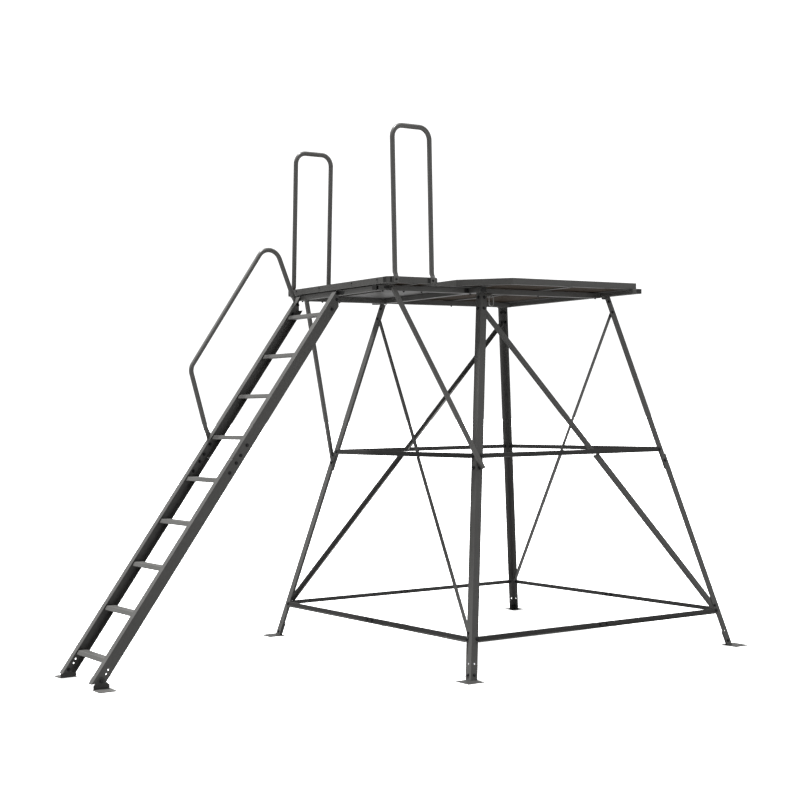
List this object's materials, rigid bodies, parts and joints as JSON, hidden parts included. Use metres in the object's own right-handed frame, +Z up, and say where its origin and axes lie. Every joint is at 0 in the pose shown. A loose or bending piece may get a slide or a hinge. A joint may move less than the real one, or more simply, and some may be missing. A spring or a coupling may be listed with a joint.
{
  "type": "elevated hunting platform with ladder",
  "caption": "Free-standing elevated platform on a battered angle-iron tower, with a side landing, hoop handrails, a sloping ladder and pivoting ladder feet.",
  "frame": {"origin": "centre of the bounding box on the ground, between the ladder feet and the far legs", "axes": "+X from the ladder towards the tower, +Y from the open side towards the handrail side, +Z up"},
  "size_m": [4.2918, 2.4, 3.3815],
  "materials": {
    "coat": "satin dark grey powder coat",
    "board": "dark stained deck board",
    "wire": "zinc plated wire"
  },
  "bodies": {
    "tower": {"leg_lower_n": "coat", "leg_upper_n": "coat", "leg_foot_n": "coat", "leg_lower_r": "coat", "leg_upper_r": "coat", "leg_foot_r": "coat", "leg_lower_b": "coat", "leg_upper_b": "coat", "leg_foot_b": "coat", "leg_lower_l": "coat", "leg_upper_l": "coat", "leg_foot_l": "coat", "girt_low_nr": "coat", "girt_mid_nr": "coat", "brace_upper_nr": "coat", "brace_lower_nr": "coat", "girt_low_rb": "coat", "girt_mid_rb": "coat", "brace_upper_rb": "coat", "brace_lower_rb": "coat", "girt_low_bl": "coat", "girt_mid_bl": "coat", "brace_upper_bl": "coat", "brace_lower_bl": "coat", "girt_low_ln": "coat", "girt_mid_ln": "coat", "brace_upper_ln": "coat", "brace_lower_ln": "coat", "knee_brace_near": "coat", "knee_brace_far": "coat", "beam_long_near": "coat", "beam_long_far": "coat", "beam_deck_near": "coat", "beam_deck_far": "coat", "beam_cross_right": "coat", "beam_cross_left": "coat", "deck_rim": "coat", "deck_floor": "board", "landing_rim": "coat", "landing_floor": "board", "landing_beam": "coat", "hoop_near": "coat", "hoop_far": "coat", "ladder_rail_lower_near": "coat", "ladder_rail_lower_far": "coat", "ladder_rail_upper_near": "coat", "ladder_rail_upper_far": "coat", "rung_1": "coat", "rung_2": "coat", "rung_3": "coat", "rung_4": "coat", "rung_5": "coat", "rung_6": "coat", "rung_7": "coat", "rung_8": "coat", "rung_9": "coat", "stair_handrail": "coat"},
    "foot_near": {"ladder_foot_near": "coat"},
    "foot_far": {"ladder_foot_far": "coat"},
    "ring": {"tie_ring": "wire"}
  },
  "joints": [
    {"name": "foot_near_pivot", "type": "hinge", "parent": "tower", "child": "foot_near", "pos_m": [-2.0841, -0.042, 0.05], "axis": [0, 1, 0], "range_deg": [-30, 30]},
    {"name": "foot_far_pivot", "type": "hinge", "parent": "tower", "child": "foot_far", "pos_m": [-2.0841, 0.442, 0.05], "axis": [0, 1, 0], "range_deg": [-30, 30]},
    {"name": "ring_swing", "type": "hinge", "parent": "tower", "child": "ring", "pos_m": [0.5449, -0.467, 2.351], "axis": [1, 0, 0], "range_deg": [-60, 60]}
  ]
}
